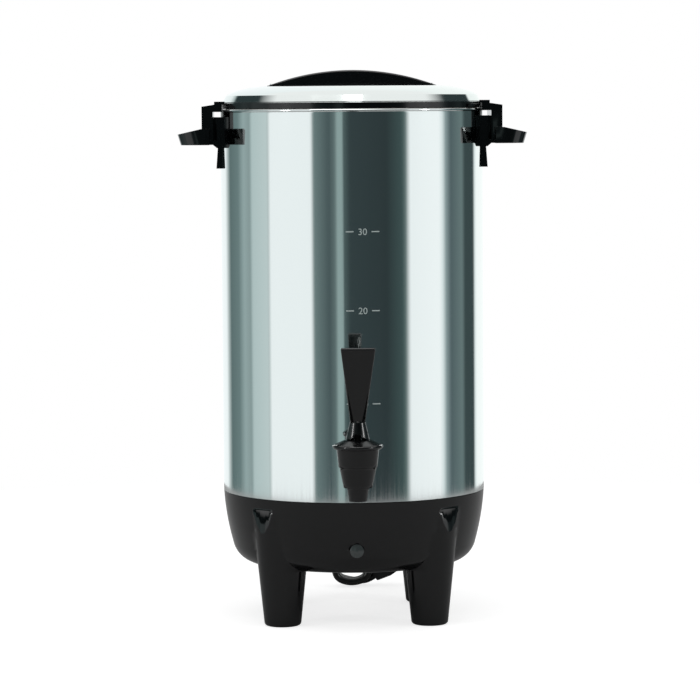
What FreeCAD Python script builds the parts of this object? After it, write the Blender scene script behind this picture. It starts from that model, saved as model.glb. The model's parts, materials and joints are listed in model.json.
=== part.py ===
import FreeCAD, Part
import math
import os
import Sketcher

# Coffee urn for about thirty cups. Millimetres, +Z up, the tap points to -Y.
# The origin is on the tank's axis at the height of the table.

dimensions = {
    # Steel tank
    "tank_radius": 90.0,
    "tank_wall": 0.8,
    "seam_height": 87.6,
    "rim_height": 349.5,
    "rim_roll": 1.0,
    "well_radius": 24.0,
    "well_depth": 14.6,
    # Base bowl and its four legs
    "base_wall": 2.5,
    "bowl_floor": 38.0,
    "bowl_floor_inset": 21.2,
    "bowl_turn_inset": 6.0,
    "bowl_turn_height": 51.7,
    "bowl_side_bow": 174.0,
    "bowl_corner_bow": 17.1,
    "base_opening": 47.0,
    "leg_inset": 19.4,
    "leg_foot": 12.6,
    "leg_top": 20.6,
    "leg_drop": 7.6,
    "leg_clearance": 0.6,
    "leg_edge": 2.5,
    "leg_floor": 3.0,
    "leg_roof": 8.0,
    "cover_lap": 6.0,
    "cover_thick": 1.2,
    "vent_radius": 2.5,
    "vent_place": 28.0,
    # Heater, its stud and the parts in the base
    "stud_radius": 3.0,
    "stud_proud": 1.2,
    "nut_across": 5.8,
    "nut_thick": 3.6,
    "fit_gap": 0.05,
    "heater_thick": 13.0,
    "bracket_thick": 1.5,
    "bracket_long": 44.0,
    "bracket_wide": 15.0,
    "warmer_inner": 41.0,
    "warmer_outer": 58.0,
    "warmer_thick": 4.0,
    "thermostat_radius": 6.4,
    "thermostat_tall": 10.0,
    "thermostat_gap": 2.0,
    "block_long": 26.0,
    "block_wide": 12.0,
    "block_tall": 14.0,
    "block_inset": 16.8,
    # Lamp in the front of the base
    "lamp_height": 55.0,
    "lens_radius": 4.6,
    "lens_stem": 3.4,
    "lens_dome": 0.9,
    "lens_rim": 0.8,
    "lamp_radius": 2.6,
    "lamp_long": 12.0,
    # Tap
    "tap_stand": 42.0,
    "spout_drop": 15.7,
    "spout_tip": 5.7,
    "spout_root": 7.2,
    "spout_bore": 4.0,
    "cone_drop": 6.6,
    "cone_small": 9.4,
    "cone_large": 12.2,
    "collar_rise": 7.0,
    "collar_small": 12.7,
    "collar_large": 14.0,
    "collar_tall": 11.7,
    "seat_rise": 1.0,
    "chamber_radius": 8.0,
    "shank_height": 110.0,
    "shank_radius": 6.5,
    "shank_bore": 4.2,
    "shank_end": 13.2,
    "flange_radius": 9.5,
    "flange_thick": 3.0,
    "washer_radius": 10.5,
    "washer_outer_thick": 3.0,
    "washer_inner_thick": 2.4,
    "shank_nut_across": 11.0,
    "shank_nut_thick": 6.0,
    "bonnet_rim": 16.5,
    "bonnet_edge": 1.2,
    "bonnet_crown": 8.2,
    "bonnet_tall": 6.0,
    "bonnet_plug_depth": 4.0,
    "stem_radius": 2.2,
    "stem_eye": 2.6,
    "stem_flat": 0.4,
    "cup_socket": 2.5,
    "pin_rise": 4.3,
    "pin_radius": 1.2,
    "pin_long": 13.0,
    "cup_radius": 6.4,
    "cup_tall": 6.0,
    "spring_radius": 4.4,
    "spring_wire": 0.45,
    "spring_turns": 5.0,
    "running_gap": 0.06,
    "free_gap": 0.35,
    "lever_foot": 7.8,
    "lever_neck": 4.85,
    "heel_reach": 4.8,
    "heel_rise": 2.9,
    "neck_rise": 8.5,
    "paddle_tall": 48.9,
    "lever_lean": 26.0,
    "lever_wide_low": 9.7,
    "lever_wide_top": 22.6,
    "lever_thick_low": 8.0,
    "lever_thick_top": 5.0,
    "lever_round": 1.1,
    # Side handles
    "plate_drop": 26.0,
    "plate_top_drop": 5.0,
    "plate_thick": 2.2,
    "plate_half": 23.0,
    "tongue_drop": 40.1,
    "tongue_half": 14.0,
    "post_stand": 4.8,
    "post_reach": 12.4,
    "handle_drop": 23.8,
    "handle_floor_thick": 2.6,
    "web_half": 9.0,
    "bridge_drop_low": 1.5,
    "bridge_rise": 3.5,
    "bridge_drop": 1.3,
    "hook_rise": 5.5,
    "hook_back": 3.8,
    "hook_cover": 0.4,
    "notch_rise": 3.5,
    "notch_gap": 1.4,
    "grip_reach": 28.6,
    "grip_half": 42.0,
    "grip_root_tall": 10.9,
    "grip_tip_tall": 7.2,
    "grip_corner": 13.0,
    "screw_radius": 2.0,
    "screw_head": 3.6,
    "screw_head_thick": 2.2,
    "screw_long": 10.0,
    "screw_drop": 15.0,
    "screw_spread": 6.0,
    # Lid
    "ring_inset": 1.2,
    "ring_rise": 0.5,
    "ring_tall": 4.5,
    "skirt_inset": 3.4,
    "skirt_drop": 5.5,
    "skirt_wall": 2.0,
    "ear_reach": 0.9,
    "ear_rise": 0.25,
    "ear_tall": 2.35,
    "ear_half_angle": 5.5,
    "ear_offset_angle": 23.0,
    "seal_gap": 0.3,
    "seal_drop": 4.5,
    "lid_thick": 0.6,
    "lid_edge_inset": 1.8,
    "lid_shoulder_inset": 3.4,
    "lid_shoulder_tall": 5.1,
    "lid_crown": 57.0,
    "lid_crown_tall": 5.8,
    "crown_land": 7.0,
    "recess_slope": 6.0,
    "recess_depth": 12.4,
    "arch_proud": 0.6,
    "arch_tip_thick": 1.6,
    "arch_tall": 10.6,
    "arch_gap": 4.2,
    "arch_foot": 4.0,
    "arch_half_width": 16.0,
    "arch_round": 1.4,
    "lid_screw_inset": 3.1,
    "lid_screw_head": 3.1,
    # Percolator
    "pump_radius": 5.0,
    "pump_wall": 0.8,
    "pump_proud": 10.0,
    "foot_gap": 2.2,
    "foot_tall": 14.0,
    "foot_wall": 0.8,
    "basket_gap": 19.2,
    "basket_tall": 52.0,
    "basket_drop": 21.5,
    "basket_wall": 0.8,
    "basket_rim": 2.5,
    "basket_sleeve": 8.0,
    "drain_radius": 1.6,
    "drain_circle": 18.0,
    "cover_overlap": 1.8,
    "cover_dish": 3.0,
    # Mains cord
    "cord_radius": 2.7,
    "cord_exit_height": 55.0,
    "cord_exit_side": 24.0,
    "relief_root": 5.6,
    "relief_tip": 3.9,
    "relief_long": 22.0,
    "relief_inside": 8.3,
    "relief_flange": 6.4,
    "hank_waist": 3.5,
    "hank_lobe": 29.0,
    "hank_half_height": 42.0,
    "hank_pitch": 6.4,
    "hank_stand": 26.5,
    "hank_side": 0.5,
    "tie_wall": 1.0,
    "tie_wide": 5.0,
    "tie_slack": 1.6,
    "plug_long": 30.0,
    "plug_wide": 22.0,
    "plug_thick": 13.0,
    "blade_long": 16.0,
    "blade_wide": 6.4,
    "blade_thick": 1.5,
    "blade_spacing": 12.7,
}

doc = FreeCAD.newDocument("CoffeeUrn")
sheet = doc.addObject("Spreadsheet::Sheet", "Sizes")
for row, (alias, number) in enumerate(dimensions.items(), start=1):
    sheet.set("A%d" % row, alias)
    sheet.set("B%d" % row, repr(number))
    sheet.setAlias("B%d" % row, alias)
doc.recompute()


class Size:
    """A number together with the sheet expression that it comes from."""

    def __init__(self, number, text):
        self.number = float(number)
        self.text = text

    def __add__(self, other):
        other = as_size(other)
        return Size(self.number + other.number, "(%s + %s)" % (self.text, other.text))

    def __sub__(self, other):
        other = as_size(other)
        return Size(self.number - other.number, "(%s - %s)" % (self.text, other.text))

    def __mul__(self, other):
        other = as_size(other)
        return Size(self.number * other.number, "(%s * %s)" % (self.text, other.text))

    def __truediv__(self, other):
        other = as_size(other)
        return Size(self.number / other.number, "(%s / %s)" % (self.text, other.text))

    def __neg__(self):
        return Size(-self.number, "(0 - %s)" % self.text)


def as_size(value):
    return value if isinstance(value, Size) else Size(value, repr(float(value)))


def size(alias):
    return Size(sheet.get(alias), "Sizes." + alias)


# Radii and heights that follow from the driving dimensions
tank_radius = size("tank_radius")
tank_inner = tank_radius - size("tank_wall")
seam_height = size("seam_height")
rim_height = size("rim_height")
well_floor = seam_height - size("well_depth")
bowl_floor_radius = tank_radius - size("bowl_floor_inset")
bowl_turn_radius = tank_radius - size("bowl_turn_inset")
leg_circle = tank_radius - size("leg_inset")
leg_reach = tank_radius - size("leg_clearance")
leg_height = seam_height - size("leg_drop")
leg_void_height = leg_height - size("leg_roof")
cover_radius = size("base_opening") + size("cover_lap")
stud_end = size("bowl_floor") - size("cover_thick") - size("nut_thick") - size("stud_proud")
thermostat_place = size("well_radius") + size("thermostat_gap") + size("thermostat_radius")
block_place = bowl_floor_radius - size("block_inset")
# The tap, outward from the tank and upward from its shank
tap_reach = tank_radius + size("tap_stand")
shank_inside = tank_inner - size("shank_end")
spout_end = size("shank_height") - size("spout_drop")
cone_bottom = size("shank_height") - size("cone_drop")
seat_height = cone_bottom + size("seat_rise")
collar_bottom = size("shank_height") + size("collar_rise")
tap_top = collar_bottom + size("collar_tall")
bonnet_top = tap_top + size("bonnet_tall")
pin_height = bonnet_top + size("pin_rise")
lever_neck_height = pin_height + size("neck_rise")
lever_top_height = lever_neck_height + size("paddle_tall")
# The side handles, outward from the tank and down or up from its rim
plate_face = tank_radius + size("plate_thick")
post_inner = tank_radius + size("post_stand")
post_outer = tank_radius + size("post_reach")
hook_outer = tank_radius + size("hook_back")
hook_lip = tank_radius - size("hook_cover")
notch_radius = tank_radius + size("notch_gap")
grip_tip = tank_radius + size("grip_reach")
plate_bottom = rim_height - size("plate_drop")
plate_top = rim_height - size("plate_top_drop")
tongue_bottom = rim_height - size("tongue_drop")
handle_floor = rim_height - size("handle_drop")
bridge_bottom = rim_height - size("bridge_drop_low")
bridge_top = rim_height + size("bridge_rise")
hook_top = rim_height + size("hook_rise")
notch_ceiling = rim_height + size("notch_rise")
grip_root_top = handle_floor + size("grip_root_tall")
grip_tip_top = handle_floor + size("grip_tip_tall")
screw_height = rim_height - size("screw_drop")
# The lid, inward from the tank and upward from its rim
ring_radius = tank_radius - size("ring_inset")
skirt_radius = tank_radius - size("skirt_inset")
ear_radius = tank_radius + size("ear_reach")
lid_edge = tank_radius - size("lid_edge_inset")
lid_shoulder = tank_radius - size("lid_shoulder_inset")
ring_bottom = rim_height + size("ring_rise")
ring_top = ring_bottom + size("ring_tall")
skirt_bottom = rim_height - size("skirt_drop")
seal_bottom = rim_height - size("seal_drop")
ear_bottom = ring_bottom + size("ear_rise")
ear_top = ear_bottom + size("ear_tall")
lid_shoulder_height = ring_top + size("lid_shoulder_tall")
lid_crown_height = lid_shoulder_height + size("lid_crown_tall")
recess_radius = size("lid_crown") - size("crown_land")
recess_floor_radius = recess_radius - size("recess_slope")
recess_floor = lid_crown_height - size("recess_depth")
arch_half = size("lid_crown") + size("arch_proud")
arch_span_half = recess_radius - size("arch_foot")
arch_top = lid_crown_height + size("arch_tall")
arch_under = lid_crown_height + size("arch_gap")
lid_screw_place = size("lid_crown") - size("lid_screw_inset")
# The percolator, from the tank's well up to the lid
foot_radius = size("well_radius") - size("tank_wall") - size("foot_gap")
basket_radius = tank_inner - size("basket_gap")
basket_top = rim_height - size("basket_drop")
basket_bottom = basket_top - size("basket_tall")
pump_top = basket_top + size("pump_proud")
cover_plate_rim = basket_radius + size("cover_overlap")
hank_front = tank_radius + size("hank_stand")


def bind(item, name, value):
    """Ties one property of an object to the sheet."""
    item.setExpression(name, as_size(value).text)


def put(item, x=0, y=0, z=0):
    """Places an object, each coordinate tied to the sheet."""
    for axis, value in zip("xyz", (x, y, z)):
        if isinstance(value, Size) or value:
            bind(item, ".Placement.Base." + axis, value)
    return item


turned_to = {
    "x": FreeCAD.Rotation(FreeCAD.Vector(0, 1, 0), 90),
    "-x": FreeCAD.Rotation(FreeCAD.Vector(0, 1, 0), -90),
    "y": FreeCAD.Rotation(FreeCAD.Vector(1, 0, 0), -90),
    "-y": FreeCAD.Rotation(FreeCAD.Vector(1, 0, 0), 90),
    "z": FreeCAD.Rotation(),
}


def rod(label, radius, length, axis="z", at=(0, 0, 0)):
    item = doc.addObject("Part::Cylinder", label)
    bind(item, "Radius", radius)
    bind(item, "Height", length)
    item.Placement = FreeCAD.Placement(FreeCAD.Vector(), turned_to[axis])
    return put(item, *at)


def taper(label, first, second, length, axis="z", at=(0, 0, 0)):
    item = doc.addObject("Part::Cone", label)
    bind(item, "Radius1", first)
    bind(item, "Radius2", second)
    bind(item, "Height", length)
    item.Placement = FreeCAD.Placement(FreeCAD.Vector(), turned_to[axis])
    return put(item, *at)


def block(label, corner, extent):
    item = doc.addObject("Part::Box", label)
    for name, value in zip(("Length", "Width", "Height"), extent):
        bind(item, name, value)
    return put(item, *corner)


def hexagon(label, circumradius, length, axis="z", at=(0, 0, 0)):
    item = doc.addObject("Part::Prism", label)
    item.Polygon = 6
    bind(item, "Circumradius", circumradius)
    bind(item, "Height", length)
    item.Placement = FreeCAD.Placement(FreeCAD.Vector(), turned_to[axis])
    return put(item, *at)


def fuse(label, *pieces):
    item = doc.addObject("Part::MultiFuse", label)
    item.Shapes = list(pieces)
    item.Refine = True
    return item


def cut(label, whole, *tools):
    item = doc.addObject("Part::Cut", label)
    item.Base = whole
    item.Tool = tools[0] if len(tools) == 1 else fuse(label + "_tools", *tools)
    return item


def overlap(label, first, second):
    item = doc.addObject("Part::MultiCommon", label)
    item.Shapes = [first, second]
    return item


def group(label, *pieces):
    """Several separate solids under one name."""
    item = doc.addObject("Part::Compound", label)
    item.Links = list(pieces)
    return item


def rounded(label, whole, radius, chosen):
    """Rounds the edges whose middle point passes the test."""
    doc.recompute()
    item = doc.addObject("Part::Fillet", label)
    item.Base = whole
    number = as_size(radius).number
    edges = []
    for index, edge in enumerate(whole.Shape.Edges, start=1):
        middle = edge.valueAt((edge.FirstParameter + edge.LastParameter) / 2)
        if chosen(middle, edge):
            edges.append((index, number, number))
    item.Edges = edges
    return item


def arc_edge(start, end, radius, centre_left):
    """Counter-clockwise arc for a sketch, and the end that it starts from."""
    chord = end - start
    half = chord.Length / 2
    rise = math.sqrt(max(radius * radius - half * half, 0.0))
    left = FreeCAD.Vector(-chord.y, chord.x, 0).normalize()
    centre = start + chord * 0.5 + left * (rise if centre_left else -rise)
    first, last = (start, end) if centre_left else (end, start)
    low = math.atan2(first.y - centre.y, first.x - centre.x)
    high = math.atan2(last.y - centre.y, last.x - centre.x)
    if high < low:
        high += 2 * math.pi
    circle = Part.Circle(centre, FreeCAD.Vector(0, 0, 1), radius)
    return Part.ArcOfCircle(circle, low, high)


def outline_sketch(body, plane, corners):
    """A closed outline: corners are (x, y), or (x, y, radius, side) before an arc."""
    sketch = body.newObject("Sketcher::SketchObject", body.Label + "_outline")
    origin = [part for part in body.Origin.OriginFeatures if part.Role == plane]
    sketch.AttachmentSupport = [(origin[0], "")]
    sketch.MapMode = "FlatFace"
    points = [FreeCAD.Vector(as_size(c[0]).number, as_size(c[1]).number, 0) for c in corners]
    ends = []
    for index, corner in enumerate(corners):
        start = points[index]
        end = points[(index + 1) % len(points)]
        if len(corner) == 2:
            sketch.addGeometry(Part.LineSegment(start, end), False)
            ends.append((1, 2))
        else:
            left = corner[3] == "left"
            sketch.addGeometry(arc_edge(start, end, as_size(corner[2]).number, left), False)
            ends.append((1, 2) if left else (2, 1))
    for index, corner in enumerate(corners):
        following = (index + 1) % len(corners)
        sketch.addConstraint(Sketcher.Constraint(
            "Coincident", index, ends[index][1], following, ends[following][0]))
    for index, corner in enumerate(corners):
        for kind, axis, value in (("DistanceX", -2, corner[0]), ("DistanceY", -1, corner[1])):
            value = as_size(value)
            if value.number == 0:
                sketch.addConstraint(Sketcher.Constraint(
                    "PointOnObject", index, ends[index][0], axis))
                continue
            number = sketch.addConstraint(Sketcher.Constraint(
                kind, -1, 1, index, ends[index][0], value.number))
            sketch.setExpression("Constraints[%d]" % number, value.text)
        if len(corner) > 2:
            number = sketch.addConstraint(Sketcher.Constraint(
                "Radius", index, as_size(corner[2]).number))
            sketch.setExpression("Constraints[%d]" % number, as_size(corner[2]).text)
    return sketch


def turned(label, corners, at=(0, 0, 0)):
    """A turned piece: its half outline in the XZ plane goes round the Z axis."""
    body = doc.addObject("PartDesign::Body", label)
    sketch = outline_sketch(body, "XZ_Plane", corners)
    turn = body.newObject("PartDesign::Revolution", label + "_turn")
    turn.Profile = sketch
    turn.ReferenceAxis = (sketch, ["V_Axis"])
    turn.Angle = 360
    return put(body, *at)


def padded(label, plane, corners, length, middle=True, at=(0, 0, 0)):
    """A piece with one outline, drawn in a plane and given a length."""
    body = doc.addObject("PartDesign::Body", label)
    sketch = outline_sketch(body, plane, corners)
    pad = body.newObject("PartDesign::Pad", label + "_pad")
    pad.Profile = sketch
    bind(pad, "Length", length)
    pad.Midplane = middle
    return put(body, *at)


def turned_about(item, angle):
    """A copy of a piece, turned about the urn's axis."""
    copy = doc.addObject("Part::Compound", item.Label + "_turned")
    copy.Links = [item]
    copy.Placement = FreeCAD.Placement(
        FreeCAD.Vector(), FreeCAD.Rotation(FreeCAD.Vector(0, 0, 1), angle))
    return copy


parts = {}


def tank():
    inner = tank_inner
    well_inner = size("well_radius") - size("tank_wall")
    roll = size("rim_roll")
    floor_top = seam_height + size("tank_wall")
    shell = turned("tank_shell", [
        (0, well_floor),
        (size("well_radius"), well_floor),
        (size("well_radius"), seam_height),
        (tank_radius, seam_height),
        (tank_radius, rim_height - roll * 2, roll * 1.2, "left"),
        (tank_radius, rim_height),
        (inner, rim_height),
        (inner, floor_top),
        (well_inner, floor_top),
        (well_inner, well_floor + size("tank_wall")),
        (0, well_floor + size("tank_wall")),
    ])
    holes = [rod("tank_shank_hole", size("shank_radius") + size("fit_gap"), 30, "-y",
                 (0, -(tank_radius - 20), size("shank_height")))]
    for side in (1, -1):
        for way in (1, -1):
            holes.append(rod("tank_screw_hole", size("screw_radius") + size("fit_gap"), 30,
                             "x" if side > 0 else "-x",
                             ((tank_radius - 20) * side, size("screw_spread") * way, screw_height)))
    return cut("tank", shell, *holes)


def base():
    """The black moulding: a bowl with a wall, and four hollow legs."""
    wall = size("base_wall")
    outer = [
        (0, size("bowl_floor")),
        (bowl_floor_radius, size("bowl_floor"), size("bowl_corner_bow"), "left"),
        (bowl_turn_radius, size("bowl_turn_height"), size("bowl_side_bow"), "left"),
        (tank_radius, seam_height),
        (0, seam_height),
    ]
    solid = turned("base_bowl", outer)
    doc.recompute()
    top = face_at(solid.Shape, seam_height.number)
    hollow = doc.addObject("Part::Thickness", "base_shell")
    hollow.Faces = (solid, [top])
    bind(hollow, "Value", -wall)
    hollow.Join = 2
    legs = []
    voids = []
    reach = rod("leg_reach", leg_reach, leg_height)
    for number in range(4):
        legs.append(leg("leg", number, [
            (0, 0),
            (size("leg_foot") - size("leg_edge"), 0, size("leg_edge"), "left"),
            (size("leg_foot"), size("leg_edge")),
            (size("leg_top"), leg_height),
            (0, leg_height),
        ]))
        voids.append(leg("leg_void", number, [
            (0, size("leg_floor")),
            (size("leg_foot") - wall, size("leg_floor")),
            (size("leg_top") - wall, leg_void_height),
            (0, leg_void_height),
        ]))
    trimmed = overlap("legs", fuse("leg_set", *legs), reach)
    opening = rod("base_opening", size("base_opening"), wall * 3, "z",
                  (0, 0, size("bowl_floor") - wall))
    lens_hole = rod("lens_hole", size("lens_stem") + size("fit_gap"), 20, "-y",
                    (0, -(tank_radius - 15), size("lamp_height")))
    lens_seat = rod("lens_seat", size("lens_radius") + size("fit_gap"), 20, "-y",
                    (0, -lens_face(), size("lamp_height")))
    cord_hole = rod("cord_hole", size("relief_root") + size("fit_gap"), 20, "y",
                    (size("cord_exit_side"), tank_radius - 20, size("cord_exit_height")))
    return cut("base", fuse("base_moulding", hollow, trimmed), opening, lens_hole, lens_seat,
               cord_hole, *voids)


def face_at(shape, height):
    """The name of the flat face at a height."""
    for index, face in enumerate(shape.Faces, start=1):
        box = face.BoundBox
        if abs(box.ZMax - height) < 0.001 and abs(box.ZMin - height) < 0.001:
            return "Face%d" % index
    raise ValueError("no flat face at %.2f" % height)


def leg(label, number, corners):
    """One leg outline, turned about its own axis and set on the circle of legs."""
    item = turned("%s_%d" % (label, number + 1), corners)
    across = (1, -1, -1, 1)[number]
    along = (1, 1, -1, -1)[number]
    place = leg_circle * round(math.sqrt(0.5), 6)
    return put(item, place * across, place * along, 0)


def base_cover():
    plate = rod("cover_plate", cover_radius, size("cover_thick"), "z",
                (0, 0, size("bowl_floor") - size("cover_thick")))
    start = size("bowl_floor") - size("cover_thick") - 2
    through = size("cover_thick") + 4
    hole = rod("cover_hole", size("stud_radius") + size("fit_gap"), through, "z", (0, 0, start))
    place = size("vent_place")
    vents = [rod("cover_vent", size("vent_radius"), through, "z", (place * x, place * y, start))
             for x, y in ((1, 0), (-1, 0), (0, 1), (0, -1))]
    return cut("base_cover", plate, hole, *vents)


def centre_stud():
    return rod("centre_stud", size("stud_radius"), well_floor - stud_end, "z",
               (0, 0, stud_end))


def centre_nuts():
    """One nut under the heater's bracket and one under the cover."""
    upper = well_floor - size("heater_thick") - size("bracket_thick") - size("nut_thick")
    lower = size("bowl_floor") - size("cover_thick") - size("nut_thick")
    nuts = []
    for height in (upper, lower):
        nut = hexagon("nut_blank", size("nut_across"), size("nut_thick"), "z", (0, 0, height))
        hole = rod("nut_hole", size("stud_radius") + size("fit_gap"), size("nut_thick"), "z",
                   (0, 0, height))
        nuts.append(cut("nut", nut, hole))
    return group("centre_nuts", *nuts)


def pump_heater():
    """The cast heater that is pressed up against the tank's well."""
    bottom = well_floor - size("heater_thick")
    disc = turned("heater_disc", [
        (size("stud_radius") + size("fit_gap"), bottom),
        (size("well_radius") - 4, bottom),
        (size("well_radius") - 4, bottom + 3),
        (size("well_radius"), bottom + 3),
        (size("well_radius"), bottom + 9),
        (size("well_radius") - 2, bottom + 9),
        (size("well_radius") - 2, well_floor),
        (size("stud_radius") + size("fit_gap"), well_floor),
    ])
    tabs = [block("heater_tab", (-3, side, bottom + 4), (6, 8, 0.8))
            for side in (size("well_radius") - 2, -size("well_radius") - 6)]
    return fuse("pump_heater", disc, *tabs)


def heater_bracket():
    bottom = well_floor - size("heater_thick") - size("bracket_thick")
    strap = block("bracket_strap", (-size("bracket_long") / 2, -size("bracket_wide") / 2, bottom),
                  (size("bracket_long"), size("bracket_wide"), size("bracket_thick")))
    hole = rod("bracket_hole", size("stud_radius") + size("fit_gap"), 10, "z",
               (0, 0, bottom - 2))
    return cut("heater_bracket", strap, hole)


def warming_element():
    top = seam_height
    return turned("warming_element", [
        (size("warmer_inner"), top - size("warmer_thick") + 1),
        (size("warmer_inner") + 1, top - size("warmer_thick")),
        (size("warmer_outer") - 1, top - size("warmer_thick")),
        (size("warmer_outer"), top - size("warmer_thick") + 1),
        (size("warmer_outer"), top),
        (size("warmer_inner"), top),
    ])


def thermostat():
    cap = rod("thermostat_cap", size("thermostat_radius"), size("thermostat_tall"), "z",
              (0, thermostat_place, seam_height - size("thermostat_tall")))
    pins = [block("thermostat_pin", (side * 3 - 1.5, thermostat_place - 0.4,
                                     seam_height - size("thermostat_tall") - 5),
                  (3, 0.8, 5)) for side in (1, -1)]
    return fuse("thermostat", cap, *pins)


def terminal_block():
    body = block("terminal_body", (-size("block_long") / 2, block_place,
                                   size("bowl_floor") + size("base_wall")),
                 (size("block_long"), size("block_wide"), size("block_tall")))
    wells = [rod("terminal_well", 1.9, 8, "z",
                 (side * 7, block_place + size("block_wide") / 2,
                  size("bowl_floor") + size("base_wall") + size("block_tall") - 6))
             for side in (1, 0, -1)]
    return cut("terminal_block", body, *wells)


def lens_face():
    """How far in front of the axis the lens sits in the base's wall."""
    return bowl_turn_radius + 0.9


def lamp_lens():
    """The round lens in the front wall, with its stem through the wall."""
    face = lens_face()
    dome = size("lens_dome")
    edge = size("lens_radius")
    cap = turned("lens_cap", [
        (0, 0),
        (edge, 0),
        (edge, size("lens_rim"), (edge * edge + dome * dome) / (dome * 2), "left"),
        (0, dome + size("lens_rim")),
    ])
    cap.Placement = FreeCAD.Placement(FreeCAD.Vector(), turned_to["-y"])
    put(cap, 0, -face, size("lamp_height"))
    stem = rod("lens_stem", size("lens_stem"), 5, "y", (0, -face, size("lamp_height")))
    bore = rod("lens_bore", size("lamp_radius") + size("fit_gap"), 5, "y",
               (0, -face + 1.2, size("lamp_height")))
    return cut("lamp_lens", fuse("lens_solid", cap, stem), bore)


def lamp():
    return rod("lamp", size("lamp_radius"), size("lamp_long"), "y",
               (0, -bowl_turn_radius + 0.3, size("lamp_height")))


def tap_place(item):
    return put(item, 0, -tap_reach, 0)


def tap_body():
    chamber = size("chamber_radius")
    outer = tap_place(turned("tap_outer", [
        (0, spout_end),
        (size("spout_tip"), spout_end),
        (size("spout_root"), cone_bottom),
        (size("cone_small"), cone_bottom),
        (size("cone_large"), collar_bottom),
        (size("collar_small"), collar_bottom),
        (size("collar_large"), tap_top),
        (0, tap_top),
    ]))
    inner = tap_place(turned("tap_inner", [
        (0, spout_end - 2),
        (size("spout_bore"), spout_end - 2),
        (size("spout_bore"), seat_height),
        (chamber - 0.8, seat_height),
        (chamber, seat_height + 9),
        (chamber, tap_top + 2),
        (0, tap_top + 2),
    ]))
    shank_long = tap_reach - shank_inside
    shank = rod("tap_shank", size("shank_radius"), shank_long, "y",
                (0, -tap_reach, size("shank_height")))
    flange = rod("tap_flange", size("flange_radius"), size("flange_thick"), "-y",
                 (0, -(tank_radius + size("washer_outer_thick")), size("shank_height")))
    bore = rod("tap_bore", size("shank_bore"), shank_long + 2, "y",
               (0, -tap_reach, size("shank_height")))
    return cut("faucet_body", fuse("tap_solid", outer, shank, flange), inner, bore)


def shank_washer_outer():
    """A soft washer that fits the round outside of the tank."""
    disc = rod("washer_blank", size("washer_radius"), size("washer_outer_thick") + 6, "y",
               (0, -(tank_radius + size("washer_outer_thick")), size("shank_height")))
    tank_side = rod("washer_tank", tank_radius, 60, "z",
                    (0, 0, size("shank_height") - 30))
    hole = rod("washer_hole", size("shank_radius") + size("fit_gap"), 30, "-y",
               (0, -(tank_radius - 15), size("shank_height")))
    return cut("shank_washer_outer", disc, tank_side, hole)


def shank_washer_inner():
    """A soft washer that fits the round inside of the tank."""
    wall = tank_inner
    disc = rod("inner_washer_blank", size("washer_radius"), size("washer_inner_thick") + 6, "-y",
               (0, -(wall - size("washer_inner_thick") - 0.7), size("shank_height")))
    tank_side = rod("inner_washer_tank", wall, 60, "z", (0, 0, size("shank_height") - 30))
    hole = rod("inner_washer_hole", size("shank_radius") + size("fit_gap"), 30, "-y",
               (0, -(tank_radius - 25), size("shank_height")))
    return cut("shank_washer_inner", overlap("inner_washer_round", disc, tank_side), hole)


def shank_nut():
    start = tank_inner - size("washer_inner_thick") - 0.7
    nut = hexagon("shank_nut_blank", size("shank_nut_across"), size("shank_nut_thick"), "y",
                  (0, -start, size("shank_height")))
    hole = rod("shank_nut_hole", size("shank_radius") + size("fit_gap"),
               size("shank_nut_thick"), "y", (0, -start, size("shank_height")))
    return cut("shank_nut", nut, hole)


def faucet_bonnet():
    plug = size("chamber_radius") - size("fit_gap")
    bore = size("stem_radius") + size("running_gap")
    low = tap_top - size("bonnet_plug_depth")
    return tap_place(turned("faucet_bonnet", [
        (bore, low),
        (plug, low),
        (plug, tap_top),
        (size("bonnet_rim") - 1.2, tap_top),
        (size("bonnet_rim"), tap_top + 1.2),
        (size("bonnet_rim"), tap_top + 1.2 + size("bonnet_edge")),
        (size("bonnet_crown"), bonnet_top),
        (bore, bonnet_top),
    ]))


def valve_stem():
    bottom = seat_height + size("cup_socket")
    neck = pin_height - size("stem_eye") * 0.6
    half = size("stem_radius") - size("stem_flat")
    shaft = rod("stem_shaft", size("stem_radius"), neck - bottom, "z", (0, -tap_reach, bottom))
    eye = rod("stem_eye", size("stem_eye"), half * 2, "x", (-half, -tap_reach, pin_height))
    hole = rod("stem_pin_hole", size("pin_radius") + size("fit_gap"), half * 4, "x",
               (-half * 2, -tap_reach, pin_height))
    return cut("valve_stem", fuse("stem_solid", shaft, eye), hole)


def lever_pin():
    return rod("lever_pin", size("pin_radius"), size("pin_long"), "x",
               (-size("pin_long") / 2, -tap_reach, pin_height))


def seat_cup():
    """The soft cup that closes the seat and carries the spring."""
    bottom = seat_height + 0.1
    top = bottom + size("cup_tall")
    hole = size("stem_radius") + size("fit_gap")
    return tap_place(turned("seat_cup", [
        (0, bottom),
        (size("cup_radius") - 1.5, bottom),
        (size("cup_radius"), bottom + 1.5),
        (size("cup_radius"), bottom + 3),
        (size("spring_radius") + 1.2, top),
        (hole, top),
        (hole, seat_height + size("cup_socket") - size("fit_gap")),
        (0, seat_height + size("cup_socket") - size("fit_gap")),
    ]))


def valve_spring():
    """An open coil between the cup and the underside of the bonnet."""
    wire = size("spring_wire").number
    radius = size("spring_radius").number
    low = seat_height.number + 0.1 + size("cup_tall").number + wire + 0.1
    high = tap_top.number - size("bonnet_plug_depth").number - wire - 0.1
    turns = size("spring_turns").number
    helix = Part.makeLongHelix((high - low) / turns, high - low, radius, 0)
    profile = Part.Wire(Part.makeCircle(wire, FreeCAD.Vector(radius, 0, 0),
                                        FreeCAD.Vector(0, 1, 0)))
    coil = Part.Wire(helix).makePipeShell([profile], True, True)
    item = doc.addObject("Part::Feature", "valve_spring")
    item.Shape = coil
    item.Placement.Base = FreeCAD.Vector(0, 0, low)
    item.setExpression(".Placement.Base.y", (-tap_reach).text)
    return item


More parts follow.
